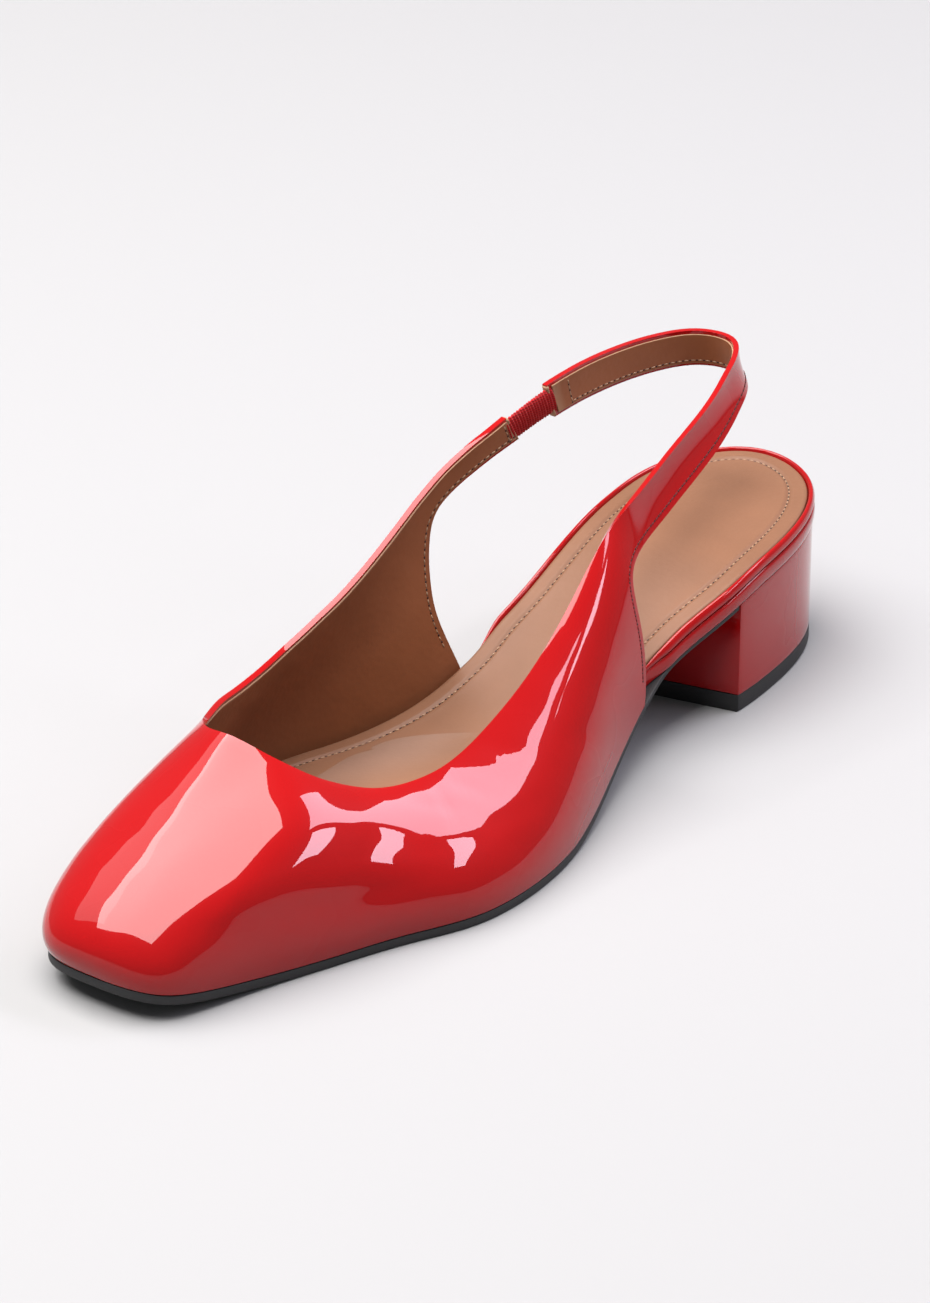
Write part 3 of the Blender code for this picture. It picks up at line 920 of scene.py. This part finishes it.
def shown(around):
    """0 where the upper hides the board's edge, 1 where the edge is bare."""
    turn = around % ROUND
    outer = turn <= BACK
    side = np.where(outer, turn, ROUND - turn)
    corner = np.where(outer, OUTER_REAR[1][0], -INNER_REAR[-1][0])
    return ease(corner, corner + BARE_RAMP, side)


def board_thickness(along):
    return BOARD_THICKNESS + (SEAT_EDGE - BOARD_THICKNESS) * ease(-BOARD_THINS, -BOARD_FULL, -along)


def flat_piece(around_steps, profile_steps, profile, inner_steps=14, cut=None, keep_front=True, bevel=0.0):
    """A closed body on the sole's plan. The profile gives, for stations and shares, how far in
    its edge lies and its height over a point, and runs from the bottom to the top. Both faces
    close on the middle line."""
    total = inner_steps * 2 + profile_steps

    def place(u, v):
        around = u * ROUND
        step = v * total
        share = np.clip((step - inner_steps) / profile_steps, 0, 1)
        bottom_in = np.clip(1 - step / inner_steps, 0, 1)
        top_in = np.clip((step - inner_steps - profile_steps) / inner_steps, 0, 1)
        inset, height = profile(around, share)
        edge = sole_edge(around) - outward(around) * inset[:, None]
        reach = (bottom_in + top_in)[:, None]
        spot = edge * (1 - reach) + spine(around) * reach
        return np.column_stack([spot, height(spot[:, 1])])

    shape = bent_grid(around_steps, total, place, closed=True)
    bmesh.ops.dissolve_degenerate(shape, dist=2e-6, edges=shape.edges)
    if cut is not None:
        geometry = list(shape.verts) + list(shape.edges) + list(shape.faces)
        normal = Vector((-math.sin(BREAST_SKEW), math.cos(BREAST_SKEW), 0)) * (1 if keep_front else -1)
        bmesh.ops.bisect_plane(
            shape, geom=geometry, dist=1e-6, plane_co=cut, plane_no=normal, clear_outer=True)
        rim = [edge for edge in shape.edges if edge.is_boundary]
        bmesh.ops.edgeloop_fill(shape, edges=rim)
        bmesh.ops.recalc_face_normals(shape, faces=shape.faces)
        if bevel:
            joined = [edge for edge in shape.edges if len(edge.link_faces) == 2]
            sharp = [edge for edge in joined if edge.calc_face_angle() > 1.0]
            bmesh.ops.bevel(
                shape, geom=sharp, offset=bevel, affect="EDGES", segments=3, profile=0.5, material=-1,
                clamp_overlap=True)
    return shape


BREAST_PLACE = Vector((0.0, SEAT_BACK - BREAST * LENGTH, 0.0))


class PUMP_OT_seat_board(bpy.types.Operator):
    """Covered board: the rolled red edge round the heel seat"""

    bl_idname = "pump.seat_board"
    bl_label = "Seat board"

    def execute(self, context):
        def profile(around, share):
            inset, rise = np.moveaxis(board_line(share * (len(BOARD_PROFILE) - 1)), -1, 0)
            bare = shown(around)
            lifted = np.minimum(rise, BOARD_FLAT + (rise - BOARD_FLAT) * bare)
            keep = HIDDEN_PROFILE + (1 - HIDDEN_PROFILE) * bare
            tucked = (WALL + 3 * CLEARANCE) * (1 - bare)
            return (tucked + inset * SEAT_EDGE * keep,
                    lambda y: seat_line(y) + CLEARANCE + lifted * board_thickness(along_at(y)))

        shape = flat_piece(340, 40, profile, 6)
        piece = new_piece("seat_rand", shape, finish_named("patent"))
        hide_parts("seat_board")
        return {"FINISHED"}


def sock_edge(around):
    """How far the footbed's edge lies in from the sole's outline."""
    hidden = WALL + 3.5 * CLEARANCE
    bare = BOARD_PROFILE[-1][0] * SEAT_EDGE + 0.3 * CLEARANCE
    return hidden + (bare - hidden) * shown(around)


def sock_height(y):
    return seat_line(y) + 2 * CLEARANCE + BOARD_FLAT * board_thickness(along_at(y)) + SOCK_THICKNESS


PAD_LENGTH, PAD_WIDTH, PAD_OUT = 0.023, 0.0165, 0.001  # half sizes, and how far out it lies


def heel_pad(x, y):
    """The padded oval under the heel of the foot."""
    along, across = y / PAD_LENGTH, (x - PAD_OUT) / PAD_WIDTH
    return 1 - ease(0.30, 1.05, np.sqrt(along * along + across * across))


SOCK_BAND = 0.0090  # band along the footbed's edge that is finely divided
SOCK_EDGE_ROUND = 0.0006
GROOVE_WIDTH, GROOVE_SHOULDER = 0.00050, 0.00190  # half widths of the groove and of its swelling


class PUMP_OT_insole(bpy.types.Operator):
    """Footbed leather with its stitched groove and padded heel"""

    bl_idname = "pump.insole"
    bl_label = "Footbed"

    def execute(self, context):
        size = sizes()
        edge_rows, total = 30, 46

        def place(u, v):
            around = u * ROUND
            step = v * total
            near = np.clip((step - 3) / (edge_rows - 3), 0, 1)
            inset = near * SOCK_BAND
            rounded = 0.35 * SOCK_THICKNESS * (1 - ease(0.0, SOCK_EDGE_ROUND, inset))
            edge = sole_edge(around) - outward(around) * (sock_edge(around) + inset)[:, None]
            far = np.clip((step - edge_rows) / (total - edge_rows), 0, 1)[:, None]
            spot = edge * (1 - far) + spine(around) * far
            side = np.clip(1 - step / 3, 0, 1) * (SOCK_THICKNESS + 0.0001)
            groove = np.exp(-((inset - size.sock_margin) / GROOVE_WIDTH) ** 2) * (1 - far[:, 0])
            shoulder = np.exp(-((inset - size.sock_margin) / GROOVE_SHOULDER) ** 2) * (1 - far[:, 0])
            rise = heel_pad(spot[:, 0], spot[:, 1]) * size.sock_pad
            height = sock_height(spot[:, 1]) - rounded - side + rise
            height = height - size.sock_groove * groove + 0.45 * size.sock_groove * (shoulder - groove)
            return np.column_stack([spot, height])

        shape = bent_grid(400, total, place, closed=True)
        bmesh.ops.dissolve_degenerate(shape, dist=2e-6, edges=shape.edges)
        rim = [edge for edge in shape.edges if edge.is_boundary]
        bmesh.ops.edgeloop_fill(shape, edges=rim)
        bmesh.ops.recalc_face_normals(shape, faces=shape.faces)
        piece = new_piece("footbed", shape, finish_named("sock"))
        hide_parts("insole")
        return {"FINISHED"}


class PUMP_OT_insole_stitches(bpy.types.Operator):
    """Stitches round the footbed, with dark balls that are painted shade of their needle holes"""

    bl_idname = "pump.insole_stitches"
    bl_label = "Footbed stitches"

    def execute(self, context):
        size = sizes()
        around = np.linspace(4.0, ROUND - 4.0, 1500)
        spot = sole_edge(around) - outward(around) * (sock_edge(around) + size.sock_margin)[:, None]
        (stations,) = evenly(spot, size.stitch_pitch * 0.9, around)
        thread = (size.stitch_length * 0.85, size.thread, size.thread * 0.9)
        # Each needle hole is a small dark ball in the groove: painted shade of the hole.
        hole_shade = (size.thread * 1.7, size.thread * 1.1, size.thread * 0.7)
        for name, shift, finish, shape_size in (
            ("footbed_stitches", 0.0, "pale_thread", thread),
            ("footbed_holes", 0.5, "hole_shade", hole_shade),
        ):
            at = stations + shift * np.gradient(stations)
            flat = sole_edge(at) - outward(at) * (sock_edge(at) + size.sock_margin)[:, None]
            rise = heel_pad(flat[:, 0], flat[:, 1]) * size.sock_pad
            points = np.column_stack([flat, sock_height(flat[:, 1]) - size.sock_groove + rise + 0.00004])
            shape = bmesh.new()
            add_stitches(shape, points, np.tile((0.0, 0.0, 1.0), (len(points), 1)), shape_size)
            new_piece(name, shape, finish_named(finish))
        return {"FINISHED"}


class PUMP_OT_outsole(bpy.types.Operator):
    """Thin black outsole, which ends at the heel's breast"""

    bl_idname = "pump.outsole"
    bl_label = "Outsole"

    def execute(self, context):
        def profile(around, share):
            inset, rise = np.moveaxis(sole_line(share * (len(SOLE_PROFILE) - 1)), -1, 0)
            along = section(around)[:, 1]
            waist = ease(-TREAD_BACK, -BOARD_FULL, -along)
            thick = SOLE_THICKNESS + (WAIST_THICKNESS - SOLE_THICKNESS) * waist
            return (2 * CLEARANCE * shown(around) + inset * SOLE_THICKNESS,
                    lambda y: seat_line(y) + (np.clip(rise, 0, 1) - 1) * thick)

        cut = BREAST_PLACE - Vector((0, CLEARANCE, 0))
        shape = flat_piece(320, 12, profile, 8, cut=cut)
        piece = new_piece("black_outsole", shape, finish_named("rubber"))
        piece.data.set_sharp_from_angle(angle=math.radians(40))
        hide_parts("outsole")
        return {"FINISHED"}


HEEL_ROUND = 0.00045  # rounding of the heel's front edges
TOP_PIECE_TAPER, TOP_PIECE_ROUND = 0.00035, 0.00020


class PUMP_OT_heel(bpy.types.Operator):
    """Covered block heel and its rubber top piece"""

    bl_idname = "pump.heel"
    bl_label = "Heel"

    def execute(self, context):
        def block(around, share):
            inset = CLEARANCE + (HEEL_TAPER - CLEARANCE) * (1 - share)
            low = TOP_PIECE_THICKNESS + CLEARANCE * 0.6
            return inset, lambda y: low + (seat_line(y) - low) * share

        def top_piece(around, share):
            inset = HEEL_TAPER + TOP_PIECE_TAPER * (1 - ease(0.0, 0.15, share))
            inset = inset + TOP_PIECE_ROUND * ease(0.9, 1.0, share)
            return inset, lambda y: TOP_PIECE_THICKNESS * share

        for name, profile, finish, slot, node, steps in (
            ("covered_heel", block, "patent", "patent_leather", "heel", 22),
            ("rubber_top_piece", top_piece, "rubber", "rubber_sole", "top_piece", 20),
        ):
            shape = flat_piece(
                320, steps, profile, 4, cut=BREAST_PLACE, keep_front=False, bevel=HEEL_ROUND)
            piece = new_piece(name, shape, finish_named(finish))
            piece.data.set_sharp_from_angle(angle=math.radians(50))
            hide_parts(node)
        return {"FINISHED"}


# Stage


# Soft boxes that hang level over the shoe, in metres
# name, place, width along X, depth along Y, radiance, colour
SOFT_BOXES = (
    ("main_box", (-0.375, -0.375, 1.40), 1.75, 1.45, 9.8, (1.0, 0.975, 0.97)),
    ("rear_box", (0.45, 0.70, 0.90), 0.63, 0.44, 11.0, (0.88, 0.84, 1.0)),
    ("outer_box", (1.20, 0.56, 0.80), 0.80, 0.19, 15.0, (0.88, 0.84, 1.0)),
    ("left_panel", (-1.70, -0.20, 1.60), 1.00, 1.60, 1.8, (1.0, 0.98, 0.98)),
)


def area_light(name, place, width, depth, radiance, colour):
    """A level soft box that sends this radiance down."""
    lamp = bpy.data.lights.new(name, "AREA")
    lamp.shape = "RECTANGLE"
    lamp.size = width
    lamp.size_y = depth
    lamp.energy = radiance * math.pi * width * depth
    lamp.color = colour
    light = bpy.data.objects.new(name, lamp)
    light.location = place
    bpy.context.scene.collection.objects.link(light)


class PUMP_OT_stage(bpy.types.Operator):
    """Pale floor, soft boxes and the camera"""

    bl_idname = "pump.stage"
    bl_label = "Stage"

    def execute(self, context):
        setup = context.scene.pump_stage
        shape = bmesh.new()
        bmesh.ops.create_grid(shape, x_segments=8, y_segments=8, size=15.0)
        mesh = bpy.data.meshes.new("floor")
        shape.to_mesh(mesh)
        shape.free()
        floor = bpy.data.objects.new("floor", mesh)
        mesh.materials.append(finish_named("floor"))
        context.scene.collection.objects.link(floor)

        middle = (CAD_LOW + CAD_HIGH) / 2
        flat = math.cos(setup.elevation)
        back = Vector(
            (math.sin(setup.azimuth) * flat, -math.cos(setup.azimuth) * flat, math.sin(setup.elevation)))
        lens = bpy.data.cameras.new("camera")
        lens.lens = setup.focal
        lens.sensor_width = 36.0
        camera = bpy.data.objects.new("camera", lens)
        camera.location = middle + back * setup.distance
        camera.rotation_euler = (-back).to_track_quat("-Z", "Y").to_euler()
        context.scene.collection.objects.link(camera)
        context.scene.camera = camera

        world = bpy.data.worlds.new("room")
        world.use_nodes = True
        world.node_tree.nodes["Background"].inputs["Color"].default_value = (0.95, 0.97, 1.0, 1.0)
        world.node_tree.nodes["Background"].inputs["Strength"].default_value = setup.fill
        context.scene.world = world
        for name, place, width, depth, radiance, colour in SOFT_BOXES:
            area_light(name, place, width, depth, radiance, colour)
        context.scene.view_settings.view_transform = "Standard"
        return {"FINISHED"}


class PUMP_PT_panel(bpy.types.Panel):
    """The shoe's pieces in the order in which they are made"""

    bl_idname = "PUMP_PT_panel"
    bl_label = "Slingback Pump"
    bl_space_type = "VIEW_3D"
    bl_region_type = "UI"
    bl_category = "Pump"

    def draw(self, context):
        for group in (context.scene.pump_sizes, context.scene.pump_colours, context.scene.pump_stage):
            box = self.layout.box()
            for name in group.__annotations__:
                box.prop(group, name)
        for operator in OPERATORS:
            self.layout.operator(operator.bl_idname)


OPERATORS = (
    PUMP_OT_upper,
    PUMP_OT_lining,
    PUMP_OT_stitches,
    PUMP_OT_end_edges,
    PUMP_OT_elastic,
    PUMP_OT_seat_board,
    PUMP_OT_insole,
    PUMP_OT_insole_stitches,
    PUMP_OT_outsole,
    PUMP_OT_heel,
    PUMP_OT_stage,
)
CLASSES = (PumpSizes, PumpColours, PumpStage) + OPERATORS + (PUMP_PT_panel,)


def register():
    for kind in CLASSES:
        bpy.utils.register_class(kind)
    bpy.types.Scene.pump_sizes = bpy.props.PointerProperty(type=PumpSizes)
    bpy.types.Scene.pump_colours = bpy.props.PointerProperty(type=PumpColours)
    bpy.types.Scene.pump_stage = bpy.props.PointerProperty(type=PumpStage)


def unregister():
    del bpy.types.Scene.pump_sizes
    del bpy.types.Scene.pump_colours
    del bpy.types.Scene.pump_stage
    for kind in reversed(CLASSES):
        bpy.utils.unregister_class(kind)


def main():
    register()
    for step in (
        bpy.ops.pump.upper,
        bpy.ops.pump.lining,
        bpy.ops.pump.stitches,
        bpy.ops.pump.end_edges,
        bpy.ops.pump.elastic,
        bpy.ops.pump.seat_board,
        bpy.ops.pump.insole,
        bpy.ops.pump.insole_stitches,
        bpy.ops.pump.outsole,
        bpy.ops.pump.heel,
        bpy.ops.pump.stage,
    ):
        step()


if __name__ == "__main__":
    main()
